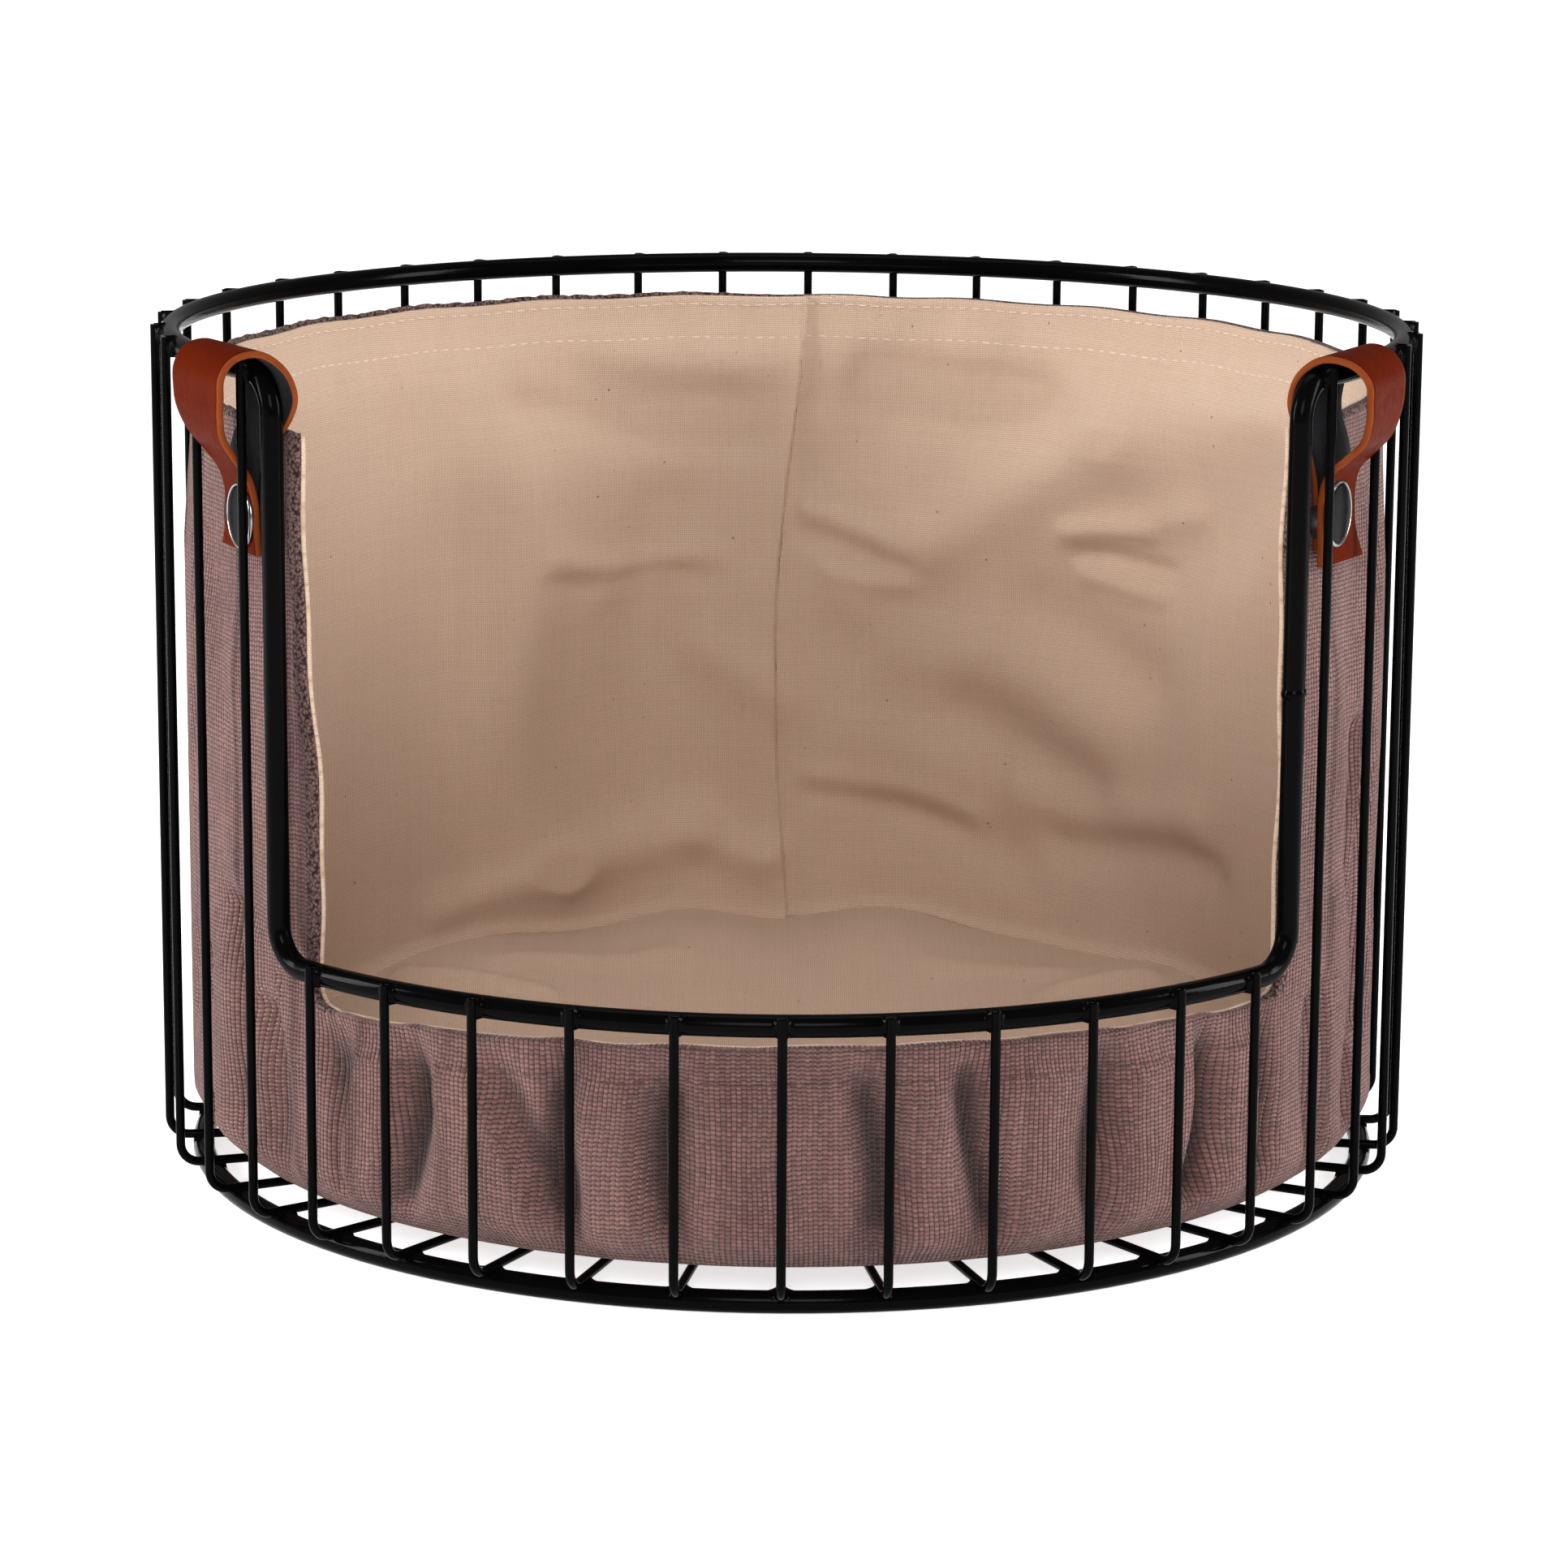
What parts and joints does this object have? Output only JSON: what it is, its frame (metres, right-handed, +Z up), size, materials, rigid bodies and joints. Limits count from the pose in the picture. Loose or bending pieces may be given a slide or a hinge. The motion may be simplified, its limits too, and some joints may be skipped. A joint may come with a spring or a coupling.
{
  "type": "fabric storage bin",
  "caption": "Round black wire storage bin with a drop front and a lift-out cloth liner held by two snapped leather straps.",
  "frame": {"origin": "centre of the base ring, on the plane that the bin stands on", "axes": "+Z up; the drop front faces -Y; +X is to the right of someone facing the drop front"},
  "size_m": [0.2937, 0.2936, 0.1996],
  "materials": {
    "wire": "satin black powder coat",
    "outer_cloth": "coarse plain weave, dusty pink",
    "lining_cloth": "natural flecked cotton canvas",
    "leather": "smooth cognac leather with a black suede back",
    "snap_cap": "satin black enamel",
    "snap_metal": "bright nickel plate"
  },
  "bodies": {
    "frame": {"rim_wire": "wire", "base_ring": "wire", "hub_ring": "wire", "rib_00": "wire", "rib_01": "wire", "rib_02": "wire", "rib_03": "wire", "rib_04": "wire", "rib_05": "wire", "rib_06": "wire", "rib_07": "wire", "rib_08": "wire", "rib_09": "wire", "rib_10": "wire", "rib_11": "wire", "rib_12": "wire", "rib_13": "wire", "rib_14": "wire", "rib_15": "wire", "rib_16": "wire", "rib_17": "wire", "rib_18": "wire", "rib_19": "wire", "rib_20": "wire", "rib_21": "wire", "rib_22": "wire", "rib_23": "wire", "rib_24": "wire", "rib_25": "wire", "rib_26": "wire", "rib_27": "wire", "rib_28": "wire", "rib_29": "wire", "rib_30": "wire", "rib_31": "wire", "rib_32": "wire", "rib_33": "wire", "rib_34": "wire", "rib_35": "wire", "rib_36": "wire", "rib_37": "wire", "rib_38": "wire", "rib_39": "wire"},
    "liner": {"liner_outer_wall": "outer_cloth", "liner_outer_floor": "outer_cloth", "lining_wall": "lining_cloth", "lining_floor": "lining_cloth", "strap_root_left": "leather", "snap_stud_left": "snap_metal", "snap_post_left": "snap_metal", "strap_root_right": "leather", "snap_stud_right": "snap_metal", "snap_post_right": "snap_metal"},
    "strap_left": {"strap_tail_left": "leather", "snap_cap_left": "snap_cap", "snap_socket_left": "snap_metal"},
    "strap_right": {"strap_tail_right": "leather", "snap_cap_right": "snap_cap", "snap_socket_right": "snap_metal"}
  },
  "joints": [
    {"name": "liner_lift", "type": "slide", "parent": "frame", "child": "liner", "axis": [0, 0, 1], "range_m": [0, 0.2]},
    {"name": "strap_left_swing", "type": "hinge", "parent": "liner", "child": "strap_left", "pos_m": [-0.1215, -0.07446, 0.1996], "axis": [-0.5225, 0.8526, 0], "range_deg": [0, 120]},
    {"name": "strap_right_swing", "type": "hinge", "parent": "liner", "child": "strap_right", "pos_m": [0.1215, -0.07446, 0.1996], "axis": [-0.5225, -0.8526, 0], "range_deg": [0, 120]}
  ],
  "couplings": [
    {"joint": "strap_left_swing", "follows": "liner_lift", "rad_per_m": 10.47},
    {"joint": "strap_right_swing", "follows": "liner_lift", "rad_per_m": 10.47}
  ]
}
